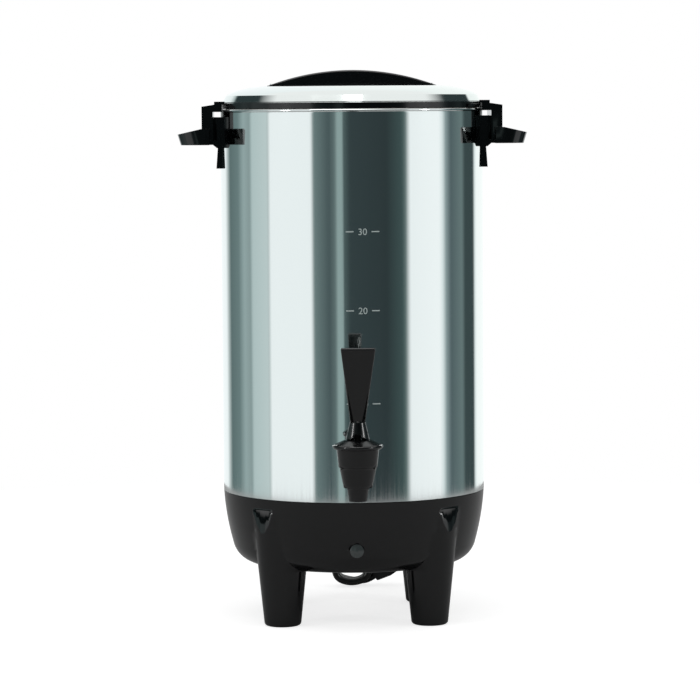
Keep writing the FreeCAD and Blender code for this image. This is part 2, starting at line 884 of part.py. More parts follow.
def faucet_lever():
    """A hub that straddles the stem, and a flat paddle that leans forward."""
    foot = bonnet_top + size("free_gap")
    hub = taper("lever_hub", size("lever_foot"), size("lever_neck"),
                lever_neck_height - foot, "z", (0, -tap_reach, foot))
    paddle = doc.addObject("Part::Wedge", "lever_paddle")
    low = lever_neck_height - 1.5
    bind(paddle, "Ymin", 0)
    bind(paddle, "Ymax", lever_top_height - low)
    bind(paddle, "Xmin", -size("lever_wide_low") / 2)
    bind(paddle, "Xmax", size("lever_wide_low") / 2)
    bind(paddle, "X2min", -size("lever_wide_top") / 2)
    bind(paddle, "X2max", size("lever_wide_top") / 2)
    bind(paddle, "Zmin", -size("lever_thick_low") / 2)
    bind(paddle, "Zmax", size("lever_thick_low") / 2)
    bind(paddle, "Z2min", size("lever_lean") - size("lever_thick_top") / 2)
    bind(paddle, "Z2max", size("lever_lean") + size("lever_thick_top") / 2)
    paddle.Placement = FreeCAD.Placement(FreeCAD.Vector(), turned_to["-y"])
    put(paddle, 0, -tap_reach, low)
    doc.recompute()
    height = low.number
    smooth = rounded("lever_blade", paddle, size("lever_round"),
                     lambda middle, edge: middle.z > height + 1)
    slot_half = size("stem_radius") + size("free_gap")
    slot = block("lever_slot", (-slot_half, -tap_reach - 12, foot - 1),
                 (slot_half * 2, 24, pin_height - foot + 1))
    eye = rod("lever_eye_room", size("stem_eye") + size("free_gap") * 1.5, slot_half * 2, "x",
              (-slot_half, -tap_reach, pin_height))
    hole = rod("lever_pin_hole", size("pin_radius") + size("running_gap"), 20, "x",
               (-10, -tap_reach, pin_height))
    heel = padded("lever_heel", "YZ_Plane", [
        (-tap_reach - size("lever_foot") - 1, foot - 1),
        (-tap_reach - size("heel_reach"), foot - 1),
        (-tap_reach - size("heel_reach"), foot),
        (-tap_reach - size("lever_foot") - 1, foot + size("heel_rise")),
    ], size("lever_foot") * 3)
    return cut("faucet_lever", fuse("lever_solid", hub, smooth), slot, eye, hole, heel)


def handle(label, side):
    """One side handle: plate, tongue, post, bridge with its hook, and grip."""
    inside = tank_radius - 10
    profile = padded(label + "_bracket", "XZ_Plane", [
        (inside, plate_bottom),
        (plate_face, plate_bottom),
        (post_inner, handle_floor),
        (post_outer, handle_floor),
        (post_outer, bridge_top - size("bridge_drop")),
        (hook_outer, bridge_top),
        (hook_outer, hook_top),
        (inside, hook_top),
    ], size("plate_half") * 2)
    bay = turned(label + "_bay", [
        (0, tongue_bottom - 5),
        (tank_radius, tongue_bottom - 5),
        (tank_radius, rim_height - size("rim_roll") * 2.5),
        (notch_radius, rim_height - size("rim_roll") * 2.5),
        (notch_radius, notch_ceiling),
        (hook_lip, notch_ceiling),
        (hook_lip, hook_top + 5),
        (0, hook_top + 5),
    ])
    wide = size("plate_half") * 2 + 4
    window = block(label + "_window", (inside, -wide / 2, plate_top),
                   (post_inner - inside, wide, bridge_bottom - plate_top))
    pocket_low = handle_floor + size("handle_floor_thick")
    pocket_long = size("plate_half") - size("web_half") + 2
    pockets = [block(label + "_pocket",
                     (plate_face, low, pocket_low),
                     (post_inner - plate_face, pocket_long,
                      plate_top - pocket_low + 1))
               for low in (size("web_half"), -(size("web_half") + pocket_long))]
    tongue = padded(label + "_tongue", "XZ_Plane", [
        (inside, tongue_bottom),
        (plate_face + 0.6, tongue_bottom),
        (plate_face - 0.6, plate_bottom + 2),
        (inside, plate_bottom + 2),
    ], size("tongue_half") * 2)
    grip = padded(label + "_grip", "XZ_Plane", [
        (post_inner + 2, handle_floor),
        (grip_tip - 2.2, handle_floor),
        (grip_tip, grip_tip_top),
        (post_outer, grip_root_top),
        (post_inner + 2, grip_root_top),
    ], size("grip_half") * 2)
    doc.recompute()
    tip = grip_tip.number - 4
    wide_grip = rounded(label + "_grip_plan", grip, size("grip_corner"),
                        lambda middle, edge: middle.x > tip and abs(middle.y) > 30
                        and abs(edge.tangentAt(edge.FirstParameter).z) > 0.5)
    solid = fuse(label + "_solid", cut(label + "_hooked", profile, window, *pockets),
                 tongue, wide_grip)
    holes = [rod(label + "_screw_hole", size("screw_radius") + size("fit_gap"), 40, "x",
                 (tank_radius - 30, size("screw_spread") * way, screw_height)) for way in (1, -1)]
    stop = block(label + "_screw_stop",
                 (screw_start() + size("screw_long") + size("free_gap"), -20,
                  screw_height - 4),
                 (20, 40, 8))
    blind = [cut(label + "_blind", holes[0], stop), cut(label + "_blind", holes[1], stop)]
    shaped = cut(label + "_shaped", solid, bay, *blind)
    item = turned_about(shaped, 0 if side > 0 else 180)
    item.Label = label
    return item


def screw_start():
    """How far from the axis the handle screws' heads begin."""
    return tank_inner - size("screw_head_thick") - 0.5


def handle_screws():
    """Four screws from inside the tank, with round heads against its wall."""
    inner = rod("screw_inner", tank_inner, 20, "z",
                (0, 0, screw_height - 10))
    head_start = screw_start()
    screws = []
    for side in (1, -1):
        for way in (1, -1):
            spot = (head_start * side, size("screw_spread") * way, screw_height)
            axis = "x" if side > 0 else "-x"
            head = rod("screw_head", size("screw_head"), 8, axis, spot)
            shank = rod("screw_shank", size("screw_radius"), size("screw_long"), axis, spot)
            screws.append(fuse("screw", overlap("screw_cap", head, inner), shank))
    return group("handle_screws", *screws)


def lid_ring():
    """The black ring of the lid: flange, skirt and the two ears that lock it."""
    wall = size("skirt_wall")
    ring = turned("ring_body", [
        (skirt_radius - wall, skirt_bottom),
        (skirt_radius, skirt_bottom),
        (skirt_radius, ring_bottom),
        (ring_radius, ring_bottom),
        (ring_radius, ring_top),
        (skirt_radius - wall, ring_top),
    ])
    ears = rod("ear_disc", ear_radius, ear_top - ear_bottom, "z",
               (0, 0, ear_bottom))
    middle = rod("ear_middle", skirt_radius - 1, 20, "z", (0, 0, ear_bottom - 5))
    sectors = []
    for turn in (0, 180):
        sector = rod("ear_sector", ear_radius + 5, 20, "z",
                     (0, 0, ear_bottom - 5))
        bind(sector, "Angle", size("ear_half_angle") * 2)
        bind(sector, ".Placement.Rotation.Angle",
             -size("ear_offset_angle") - size("ear_half_angle") + turn)
        for axis, share in zip("xyz", (0, 0, 1)):
            bind(sector, ".Placement.Rotation.Axis." + axis, share)
        sectors.append(sector)
    ear_pair = overlap("ear_pair", cut("ear_ring", ears, middle), fuse("ear_sectors", *sectors))
    return fuse("lid_ring", ring, ear_pair)


def lid_seal():
    gap = size("seal_gap")
    inner = skirt_radius + gap
    outer = tank_inner - gap
    top = ring_bottom - gap
    return turned("lid_seal", [
        (inner, seal_bottom),
        (outer - 0.8, seal_bottom),
        (outer, seal_bottom + 1.4),
        (outer - 0.6, seal_bottom + 2.4),
        (outer, top),
        (inner, top),
    ])


def lid_shell():
    """The polished dome with its round finger recess."""
    sheet_thick = size("lid_thick")
    dome = turned("lid_dome", [
        (0, recess_floor),
        (recess_floor_radius, recess_floor),
        (recess_radius, lid_crown_height - sheet_thick),
        (size("lid_crown"), lid_crown_height - sheet_thick),
        (lid_shoulder - sheet_thick, lid_shoulder_height - sheet_thick),
        (lid_edge - sheet_thick, ring_top),
        (lid_edge, ring_top),
        (lid_shoulder, lid_shoulder_height),
        (size("lid_crown"), lid_crown_height),
        (recess_radius - sheet_thick, lid_crown_height),
        (recess_floor_radius - sheet_thick, recess_floor + sheet_thick),
        (0, recess_floor + sheet_thick),
    ])
    holes = lid_screw_rods("lid_dome_hole", size("screw_radius") + size("fit_gap"),
                           lid_crown_height - 4, 8)
    return cut("lid_shell", dome, *holes)


def lid_handle():
    """The arched bar over the recess."""
    seat = lid_crown_height
    rise = arch_top - seat - size("arch_tip_thick")
    half = arch_half
    outer = (half * half + rise * rise) / (rise * 2)
    under_rise = arch_under - seat
    span = arch_span_half
    inner = (span * span + under_rise * under_rise) / (under_rise * 2)
    bar = padded("lid_handle_bar", "XZ_Plane", [
        (-half, seat),
        (-span, seat, inner, "right"),
        (span, seat),
        (half, seat),
        (half, seat + size("arch_tip_thick"), outer, "left"),
        (-half, seat + size("arch_tip_thick")),
    ], size("arch_half_width") * 2)
    doc.recompute()
    floor = seat.number + 1
    soft = rounded("lid_handle_soft", bar, size("arch_round"),
                   lambda middle, edge: middle.z > floor and abs(middle.y) > 10
                   and edge.Length > 30)
    holes = lid_screw_rods("lid_handle_hole", size("screw_radius") + size("fit_gap"), seat,
                           size("arch_tip_thick") + 0.5)
    return cut("lid_handle", soft, *holes)


def lid_screw_rods(label, radius, start, length):
    return [rod(label, radius, length, "z", (lid_screw_place * side, 0, start))
            for side in (1, -1)]


def lid_handle_screws():
    top = lid_crown_height
    under = top - size("lid_thick")
    heads = lid_screw_rods("lid_screw_head", size("lid_screw_head"), under - 2, 2)
    shanks = lid_screw_rods("lid_screw_shank", size("screw_radius"), under - 1,
                            size("lid_thick") + size("arch_tip_thick") + 1)
    return group("lid_handle_screws", *[fuse("lid_screw", head, shank)
                                        for head, shank in zip(heads, shanks)])


def pump_tube():
    """The riser, with the collar that the basket sits on."""
    bottom = well_floor + size("tank_wall") + size("foot_tall")
    inner = size("pump_radius") - size("pump_wall")
    collar = basket_bottom - size("free_gap")
    return turned("pump_tube", [
        (inner, bottom - 4),
        (size("pump_radius"), bottom - 4),
        (size("pump_radius"), collar - 2),
        (size("basket_sleeve") + 1, collar - 2),
        (size("basket_sleeve") + 1, collar),
        (size("pump_radius"), collar),
        (size("pump_radius"), pump_top),
        (inner, pump_top),
    ])


def pump_foot():
    """The bell that stands in the tank's well and feeds the riser."""
    bottom = well_floor + size("tank_wall") + 0.3
    wall = size("foot_wall")
    top = well_floor + size("tank_wall") + size("foot_tall")
    bore = size("pump_radius") + size("fit_gap")
    bell = turned("foot_bell", [
        (foot_radius - wall, bottom),
        (foot_radius, bottom),
        (foot_radius, bottom + 6),
        (foot_radius - 8, top - 4),
        (foot_radius - 8, top - 4 + wall),
        (bore + 1.5, top - 4 + wall),
        (bore + 1.5, top + 2),
        (bore, top + 2),
        (bore, top - 4),
        (foot_radius - 9, top - 4),
        (foot_radius - wall, bottom + 6 - wall),
    ])
    slots = [block("foot_slot", (-30, -2, bottom - 1), (60, 4, 3)),
             block("foot_slot", (-2, -30, bottom - 1), (4, 60, 3))]
    return cut("pump_foot", bell, *slots)


def basket():
    """The coffee basket, with a sleeve for the riser and drain holes."""
    wall = size("basket_wall")
    inner = size("pump_radius") + size("free_gap")
    low = basket_bottom
    shell = turned("basket_shell", [
        (inner, low),
        (basket_radius - 4, low),
        (basket_radius, low + 4),
        (basket_radius, basket_top - 1),
        (basket_radius + size("basket_rim"), basket_top - 1),
        (basket_radius + size("basket_rim"), basket_top),
        (basket_radius - wall, basket_top),
        (basket_radius - wall, low + 4 + wall),
        (basket_radius - 4, low + wall),
        (inner + wall, low + wall),
        (inner + wall, basket_top - 6),
        (inner, basket_top - 6),
    ])
    drains = []
    for ring in (1, 2, 3):
        count = 6 * ring
        for number in range(count):
            angle = 2 * math.pi * (number + 0.5) / count
            drains.append(rod("drain", size("drain_radius"), 6, "z", (
                size("drain_circle") * ring * round(math.cos(angle), 6),
                size("drain_circle") * ring * round(math.sin(angle), 6), low - 2)))
    return cut("basket", shell, *drains)


def basket_cover():
    """The spreader plate over the basket."""
    inner = size("pump_radius") + size("free_gap")
    wall = size("basket_wall")
    low = basket_top + 0.05
    shell = turned("cover_shell", [
        (inner, low - size("cover_dish")),
        (basket_radius - 14, low - size("cover_dish")),
        (basket_radius - 10, low),
        (cover_plate_rim, low),
        (cover_plate_rim, low + wall),
        (basket_radius - 10.3, low + wall),
        (basket_radius - 14.3, low - size("cover_dish") + wall),
        (inner, low - size("cover_dish") + wall),
    ])
    holes = []
    for ring in (1, 2):
        count = 6 * ring
        for number in range(count):
            angle = 2 * math.pi * number / count
            holes.append(rod("spread_hole", size("drain_radius"), 8, "z", (
                size("drain_circle") * ring * round(math.cos(angle), 6),
                size("drain_circle") * ring * round(math.sin(angle), 6), low - 6)))
    return cut("basket_cover", shell, *holes)


def cord_relief():
    """The tapered sleeve that the cord leaves the base through."""
    root = size("relief_root")
    wall_face = bowl_turn_radius - 2.9
    body = turned("relief_body", [
        (0, -size("relief_inside")),
        (size("relief_flange"), -size("relief_inside")),
        (size("relief_flange"), -size("relief_inside") + 1.5),
        (root, -size("relief_inside") + 1.5),
        (root, 4),
        (size("relief_tip"), size("relief_long")),
        (0, size("relief_long")),
    ])
    body.Placement = FreeCAD.Placement(FreeCAD.Vector(), turned_to["y"])
    put(body, size("cord_exit_side"), wall_face, size("cord_exit_height"))
    body.Label = "cord_relief"
    return body


def tube_path(points):
    """Straight runs joined by tangent arcs, and the radius of each arc."""
    edges = []
    radii = []
    here = points[0]
    for index in range(1, len(points) - 1):
        before = points[index] - points[index - 1]
        after = points[index + 1] - points[index]
        turn = before.getAngle(after)
        reach = 0.45 * min(before.Length, after.Length)
        radii.append(reach / math.tan(turn / 2))
        into = FreeCAD.Vector(before).normalize()
        out = FreeCAD.Vector(after).normalize()
        first = points[index] - into * reach
        last = points[index] + out * reach
        inward = (out - into).normalize()
        middle = points[index] + inward * (radii[-1] * (1 / math.cos(turn / 2) - 1))
        edges.append(Part.LineSegment(here, first).toShape())
        edges.append(Part.Arc(first, middle, last).toShape())
        here = last
    edges.append(Part.LineSegment(here, points[-1]).toShape())
    return Part.Wire(edges), radii


def tube(label, points, radius):
    wire, radii = tube_path(points)
    start = wire.Edges[0].tangentAt(wire.Edges[0].FirstParameter)
    profile = Part.Wire(Part.makeCircle(radius, points[0], start))
    solid = wire.makePipeShell([profile], True, False)
    print("%s: length %.1f, least radius %.1f, volume ratio %.4f" % (
        label, wire.Length, min(radii), solid.Volume / (math.pi * radius ** 2 * wire.Length)))
    item = doc.addObject("Part::Feature", label)
    item.Shape = solid
    return item, wire


hank_turns = 3
points_each_turn = 16
# Where the cord goes from the last turn's lowest point, up into the plug
plug_lead = [(6.5, 0.0, 0.0), (12.5, -1.0, 1.0), (17.5, -2.0, 4.6)]


def hank_points():
    """Upright turns, drawn in at the waist, each a pitch behind the last."""
    waist = size("hank_waist").number
    lobe = size("hank_lobe").number
    half_height = size("hank_half_height").number
    side = size("hank_side").number
    middle = half_height + size("cord_radius").number + size("free_gap").number
    points = []
    steps = int(hank_turns * points_each_turn - points_each_turn / 2)
    for step in range(steps + 1):
        share = step / points_each_turn
        angle = 2 * math.pi * share
        swing = waist + lobe * math.cos(angle) ** 2
        points.append(FreeCAD.Vector(
            side - math.sin(angle) * swing,
            hank_front.number + size("hank_pitch").number * share,
            middle + math.cos(angle) * half_height))
    last = points[-1]
    for step in plug_lead:
        points.append(last + FreeCAD.Vector(*step))
    return points


def self_gap(wire, diameter):
    """The least gap of a tube to itself, measured on points along it."""
    points = wire.discretize(Number=600)
    step = wire.Length / 599
    apart = int(diameter * 2.5 / step) + 1
    least = min((points[i] - points[j]).Length
                for i in range(len(points)) for j in range(i + apart, len(points)))
    return least - diameter


def cords():
    """The free end: from the relief up to the tied hank, and on to the plug."""
    radius = size("cord_radius").number
    turns = hank_points()
    start = FreeCAD.Vector(size("cord_exit_side").number,
                           bowl_turn_radius.number - 2.9 + size("relief_long").number,
                           size("cord_exit_height").number)
    run, wire = tube("cord_run", [
        start,
        start + FreeCAD.Vector(0, 9, 0),
        start + FreeCAD.Vector(2, 13, 10),
        start + FreeCAD.Vector(2, 12, 22),
        start + FreeCAD.Vector(-5, 11.5, 32),
        turns[0] - FreeCAD.Vector(turns[1] - turns[0]).normalize() * 9,
        turns[0],
    ], radius)
    hank, hank_wire = tube("cord_hank", turns, radius)
    print("cord_hank: least gap to itself %.2f" % self_gap(hank_wire, radius * 2))
    return run, hank, turns[-1], turns[-1] - turns[-2]


def cord_tie():
    """The flat band round the waist of the hank."""
    half = size("cord_radius")
    thick = size("tie_wall")
    waist = size("hank_waist") + half + size("tie_slack")
    back = hank_front + size("hank_pitch") * (hank_turns - 0.75) + half + size("free_gap")
    front = hank_front + size("hank_pitch") * 0.25 - half - size("free_gap")
    low = size("hank_half_height") + half + size("free_gap") - size("tie_wide") / 2
    outer = block("tie_outer", (size("hank_side") - waist - thick, front - thick, low),
                  ((waist + thick) * 2, back - front + thick * 2, size("tie_wide")))
    inner = block("tie_inner", (size("hank_side") - waist, front, low - 1),
                  (waist * 2, back - front, size("tie_wide") + 2))
    return cut("cord_tie", outer, inner)


def plug_pieces(end, heading):
    """The moulded plug on the cord's end, and its two blades."""
    long = size("plug_long")
    body = padded("plug_body", "XZ_Plane", [
        (0, -size("plug_thick") * 0.3),
        (long * 0.35, -size("plug_thick") / 2),
        (long, -size("plug_thick") / 2),
        (long, size("plug_thick") / 2),
        (long * 0.35, size("plug_thick") / 2),
        (0, size("plug_thick") * 0.3),
    ], size("plug_wide") * 0.75)
    turn = FreeCAD.Rotation(FreeCAD.Vector(1, 0, 0), heading)
    body.Placement = FreeCAD.Placement(end, turn)
    body.Label = "plug"
    blades = []
    for side in (1, -1):
        blade = block("blade", (long, size("blade_spacing") / 2 * side - size("blade_thick") / 2,
                                -size("blade_wide") / 2),
                      (size("blade_long"), size("blade_thick"), size("blade_wide")))
        blades.append(blade)
    pair = group("plug_blades", *blades)
    pair.Placement = FreeCAD.Placement(end, turn)
    return body, pair


def main():
    parts = {}
    for maker in (tank, base, base_cover, centre_stud, centre_nuts, pump_heater, heater_bracket,
                  warming_element, thermostat, terminal_block, lamp_lens, lamp, tap_body,
                  shank_washer_outer, shank_washer_inner, shank_nut, faucet_bonnet, valve_stem,
                  lever_pin, seat_cup, valve_spring, faucet_lever, handle_screws, lid_ring,
                  lid_seal, lid_shell, lid_handle, lid_handle_screws, pump_tube, pump_foot,
                  basket, basket_cover, cord_relief, cord_tie):
        item = maker()
        parts[item.Label] = item
    parts["handle_right"] = handle("handle_right", 1)
    parts["handle_left"] = handle("handle_left", -1)
    run, hank, end, heading = cords()
    parts["cord_run"] = run
    parts["cord_hank"] = hank
    parts["plug"], parts["plug_blades"] = plug_pieces(end, heading)
    doc.recompute()
    for item in doc.Objects:
        if "Invalid" in item.State or "Error" in item.State:
            raise ValueError("%s did not build: %s" % (item.Label, item.State))
    os.makedirs("parts", exist_ok=True)
    for name, item in parts.items():
        shape = item.Shape
        if shape.isNull() or not shape.isValid() or not shape.Solids:
            raise ValueError("%s has no valid solid" % name)
    for name, item in parts.items():
        item.Shape.exportStep("parts/%s.step" % name)
        box = item.Shape.BoundBox
        print("%-20s %2d solids  x %7.1f %7.1f  y %7.1f %7.1f  z %7.1f %7.1f" % (
            name, len(item.Shape.Solids), box.XMin, box.XMax, box.YMin, box.YMax,
            box.ZMin, box.ZMax))


main()
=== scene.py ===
import bpy
import bmesh
import json
import math
import numpy as np
from mathutils import Matrix, Vector

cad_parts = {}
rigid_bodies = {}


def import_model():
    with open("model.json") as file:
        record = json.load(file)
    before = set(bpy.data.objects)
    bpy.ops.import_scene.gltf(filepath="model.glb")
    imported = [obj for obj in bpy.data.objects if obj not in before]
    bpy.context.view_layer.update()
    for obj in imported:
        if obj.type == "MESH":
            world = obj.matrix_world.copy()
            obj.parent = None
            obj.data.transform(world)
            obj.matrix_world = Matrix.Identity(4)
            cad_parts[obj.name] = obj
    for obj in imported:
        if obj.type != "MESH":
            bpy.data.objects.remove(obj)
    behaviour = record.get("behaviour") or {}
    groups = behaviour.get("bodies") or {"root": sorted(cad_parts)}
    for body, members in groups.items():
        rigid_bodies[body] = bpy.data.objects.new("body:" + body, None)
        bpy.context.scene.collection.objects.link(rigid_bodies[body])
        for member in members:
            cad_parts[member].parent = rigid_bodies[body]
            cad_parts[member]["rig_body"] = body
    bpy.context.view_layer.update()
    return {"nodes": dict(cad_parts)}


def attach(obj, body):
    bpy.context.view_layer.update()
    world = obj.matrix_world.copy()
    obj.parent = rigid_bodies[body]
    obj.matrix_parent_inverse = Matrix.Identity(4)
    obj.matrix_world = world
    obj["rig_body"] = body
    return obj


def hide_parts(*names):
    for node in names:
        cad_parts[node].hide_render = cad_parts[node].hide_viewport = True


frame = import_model()
nodes = frame["nodes"]
print("frame loaded:", len(nodes), "nodes")

mm = 0.001


def hexColour(code):
    # sRGB hex to the linear values that a shader socket takes
    parts = [int(code[i:i + 2], 16) / 255 for i in (1, 3, 5)]
    return [c / 12.92 if c <= 0.04045 else ((c + 0.055) / 1.055) ** 2.4 for c in parts] + [1.0]


def addNode(tree, kind, settings=None, inputs=None):
    # one node, its settings, and its sockets: a value, or (node, output) for a link
    node = tree.nodes.new(kind)
    for name, value in (settings or {}).items():
        setattr(node, name, value)
    for name, value in (inputs or {}).items():
        if isinstance(value, tuple) and hasattr(value[0], "outputs"):
            tree.links.new(value[0].outputs[value[1]], node.inputs[name])
        else:
            node.inputs[name].default_value = value
    return node


def newMaterial(name, colour, roughness, metallic=0.0, **sockets):
    # a Principled material with its plain numbers on the shader's own sockets
    material = bpy.data.materials.new(name)
    material.use_nodes = True
    tree = material.node_tree
    shader = tree.nodes["Principled BSDF"]
    shader.inputs["Base Color"].default_value = hexColour(colour)
    shader.inputs["Roughness"].default_value = roughness
    shader.inputs["Metallic"].default_value = metallic
    for key, value in sockets.items():
        shader.inputs[key.replace("_", " ")].default_value = value
    return material, tree, shader


def objectCoords(tree, scale):
    # the piece's own coordinates times a scale, in cycles per metre
    where = addNode(tree, "ShaderNodeTexCoord")
    return addNode(tree, "ShaderNodeMapping", {}, {"Vector": (where, "Object"), "Scale": scale})


def makePolishedSteel(name, colour, upright=True):
    # 18/8 stainless sheet, rolled and buffed: a near mirror with faint upright buffing lines
    material, tree, shader = newMaterial(name, colour, 0.065, 1.0)
    scale = (900, 900, 6) if upright else (40, 40, 40)
    lines = addNode(tree, "ShaderNodeTexNoise", {}, {
        "Vector": (objectCoords(tree, scale), "Vector"), "Scale": 1.0, "Detail": 3.0})
    spread = addNode(tree, "ShaderNodeMapRange", {}, {
        "Value": (lines, "Fac"), "From Min": 0.3, "From Max": 0.7, "To Min": 0.045, "To Max": 0.085})
    tree.links.new(spread.outputs["Result"], shader.inputs["Roughness"])
    bump = addNode(tree, "ShaderNodeBump", {}, {
        "Height": (lines, "Fac"), "Strength": 0.01, "Distance": 0.0002})
    tree.links.new(bump.outputs["Normal"], shader.inputs["Normal"])
    return material


def makeBlackMoulding(name, colour, roughness, coat=0.0):
    # black thermoset moulding: deep gloss with the soft waviness of a moulded skin
    material, tree, shader = newMaterial(
        name, colour, roughness, Coat_Weight=coat, Coat_Roughness=0.05)
    wave = addNode(tree, "ShaderNodeTexNoise", {}, {
        "Vector": (objectCoords(tree, (45, 45, 45)), "Vector"), "Scale": 1.0, "Detail": 2.0})
    grain = addNode(tree, "ShaderNodeTexNoise", {}, {
        "Vector": (objectCoords(tree, (900, 900, 900)), "Vector"), "Scale": 1.0, "Detail": 3.0})
    spread = addNode(tree, "ShaderNodeMapRange", {}, {
        "Value": (grain, "Fac"), "To Min": roughness * 0.8, "To Max": roughness * 1.3})
    tree.links.new(spread.outputs["Result"], shader.inputs["Roughness"])
    bump = addNode(tree, "ShaderNodeBump", {}, {
        "Height": (wave, "Fac"), "Strength": 0.05, "Distance": 0.0008})
    tree.links.new(bump.outputs["Normal"], shader.inputs["Normal"])
    return material


def makeGrained(name, colour, roughness, metallic, grit, depth):
    # a dull surface with an even grain of the given grit in millimetres
    material, tree, shader = newMaterial(name, colour, roughness, metallic)
    scale = 1 / (grit * mm)
    grain = addNode(tree, "ShaderNodeTexNoise", {}, {
        "Vector": (objectCoords(tree, (scale, scale, scale)), "Vector"), "Scale": 1.0,
        "Detail": 4.0})
    spread = addNode(tree, "ShaderNodeMapRange", {}, {
        "Value": (grain, "Fac"), "To Min": roughness * 0.75, "To Max": min(1, roughness * 1.25)})
    tree.links.new(spread.outputs["Result"], shader.inputs["Roughness"])
    bump = addNode(tree, "ShaderNodeBump", {}, {
        "Height": (grain, "Fac"), "Strength": 0.3, "Distance": depth * mm})
    tree.links.new(bump.outputs["Normal"], shader.inputs["Normal"])
    return material


finish = {
    "tankSteel": makePolishedSteel("polished stainless steel", "#eef3f2"),
    "lidSteel": makePolishedSteel("buffed stainless lid", "#e6ecea", False),
    "blackGloss": makeBlackMoulding("glossy black moulding", "#050607", 0.12, 0.0),
    "tapBlack": makeBlackMoulding("black tap moulding", "#08090a", 0.16, 0.0),
    "dullPlastic": makeGrained("dull black plastic", "#1a1a1a", 0.5, 0.0, 0.4, 0.02),
    "silicone": makeGrained("grey silicone", "#9b9a94", 0.45, 0.0, 0.8, 0.02),
    "plainSteel": makeGrained("zinc plated steel", "#b9bcbd", 0.32, 1.0, 0.5, 0.01),
    "castAluminium": makeGrained("cast aluminium", "#a9abac", 0.5, 1.0, 0.7, 0.05),
    "spunAluminium": makeGrained("spun aluminium", "#c9cccd", 0.3, 1.0, 0.4, 0.01),
    "ceramic": makeGrained("unglazed steatite", "#dcd7c9", 0.7, 0.0, 0.3, 0.03),
    "lens": makeBlackMoulding("smoked lamp lens", "#3a4040", 0.14, 0.5),
    "lampGlass": makeGrained("neon lamp glass", "#c8b9ad", 0.1, 0.0, 1.5, 0.01),
    "cordSheath": makeGrained("black cord sheath", "#0e1011", 0.34, 0.0, 0.6, 0.02),
    "brass": makeGrained("nickel plated brass", "#c9c2ac", 0.28, 1.0, 0.5, 0.01),
    "etched": makeGrained("etched mark", "#c3cfcd", 0.55, 0.4, 0.4, 0.01),
}
print("finishes made:", len(finish))


def meshObject(name, points, faces, material, smoothAngle):
    # a closed mesh with its seams and poles merged and its faces outwards
    mesh = bpy.data.meshes.new(name)
    mesh.from_pydata(points.reshape(-1, 3).tolist(), [], faces)
    mesh.validate()
    built = bmesh.new()
    built.from_mesh(mesh)
    bmesh.ops.remove_doubles(built, verts=built.verts, dist=1e-7)
    bmesh.ops.recalc_face_normals(built, faces=built.faces)
    built.to_mesh(mesh)
    built.free()
    piece = bpy.data.objects.new(name, mesh)
    bpy.context.scene.collection.objects.link(piece)
    mesh.materials.append(material)
    shadeSmooth(piece, smoothAngle)
    return piece


def shadeSmooth(piece, angle):
    # smooth but for edges sharper than the angle, in degrees
    mesh = piece.data
    mesh.shade_smooth()
    mesh.set_sharp_from_angle(angle=math.radians(angle))


def gridFaces(rows, columns):
    # quads of a grid whose rows run along the profile and whose columns go round and close
    around = np.arange(columns)
    along = np.arange(rows - 1)
    i, j = np.meshgrid(along, around, indexing="ij")
    nextJ = (j + 1) % columns
    return np.stack([i * columns + j, i * columns + nextJ, (i + 1) * columns + nextJ,
                     (i + 1) * columns + j], axis=-1).reshape(-1, 4).tolist()


def lathe(name, profile, material, steps, angle):
    # surface: (radius(s) cos t, radius(s) sin t, height(s)), s along the profile, t round the axis
    profile = np.array(profile, float)
    turn = np.linspace(0, 2 * np.pi, steps, endpoint=False)
    radius = profile[:, :1]
    points = np.stack([radius * np.cos(turn), radius * np.sin(turn),
                       np.repeat(profile[:, 1:], steps, axis=1)], axis=-1)
    return meshObject(name, points * mm, gridFaces(len(profile), steps), material, angle)


def arcPoints(start, end, radius, left=True, count=12):
    # circular arc from start to end, its centre to the left of the way from one to the other
    start, end = np.array(start, float), np.array(end, float)
    chord = end - start
    half = np.linalg.norm(chord) / 2
    rise = math.sqrt(max(radius ** 2 - half ** 2, 0))
    side = np.array([-chord[1], chord[0]]) / (2 * half)
    centre = (start + end) / 2 + side * (rise if left else -rise)
    first = math.atan2(*(start - centre)[::-1])
    last = math.atan2(*(end - centre)[::-1])
    if left and last < first:
        last += 2 * math.pi
    if not left and last > first:
        last -= 2 * math.pi
    turn = np.linspace(first, last, count)
    points = np.stack([np.cos(turn), np.sin(turn)], axis=-1) * radius + centre
    return points.tolist()


def softCopy(node, material, bevel):
    # a copy of a CAD node with its triangles merged, its edges broken and its curves smooth
    source = nodes[node]
    piece = bpy.data.objects.new(node + "Skin", source.data.copy())
    bpy.context.scene.collection.objects.link(piece)
    built = bmesh.new()
    built.from_mesh(piece.data)
    bmesh.ops.remove_doubles(built, verts=built.verts, dist=2e-6)
    if bevel:
        bmesh.ops.dissolve_limit(built, angle_limit=math.radians(1.0), verts=built.verts,
                                 edges=built.edges)
    built.to_mesh(piece.data)
    built.free()
    piece.data.materials.clear()
    piece.data.materials.append(material)
    if bevel:
        edge = piece.modifiers.new("brokenEdges", "BEVEL")
        edge.width = bevel * mm
        edge.segments = 2
        edge.limit_method = "ANGLE"
        edge.angle_limit = math.radians(32)
        edge.harden_normals = True
    shadeSmooth(piece, 35)
    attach(piece, frameBody(node))
    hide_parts(node)
    return piece


def frameBody(node):
    return nodes[node]["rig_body"]


# Camera: seen from a little to the left of the tap, eye at the level of the handles, in metres.
# The photo is turned by the small roll, in degrees.
camera = {
    "place": (-0.0441, -2.1755, 0.3465),
    "aim": (-0.0021, 0.0, 0.1833),
    "lens": 162.3,
    "roll": -0.4,
}


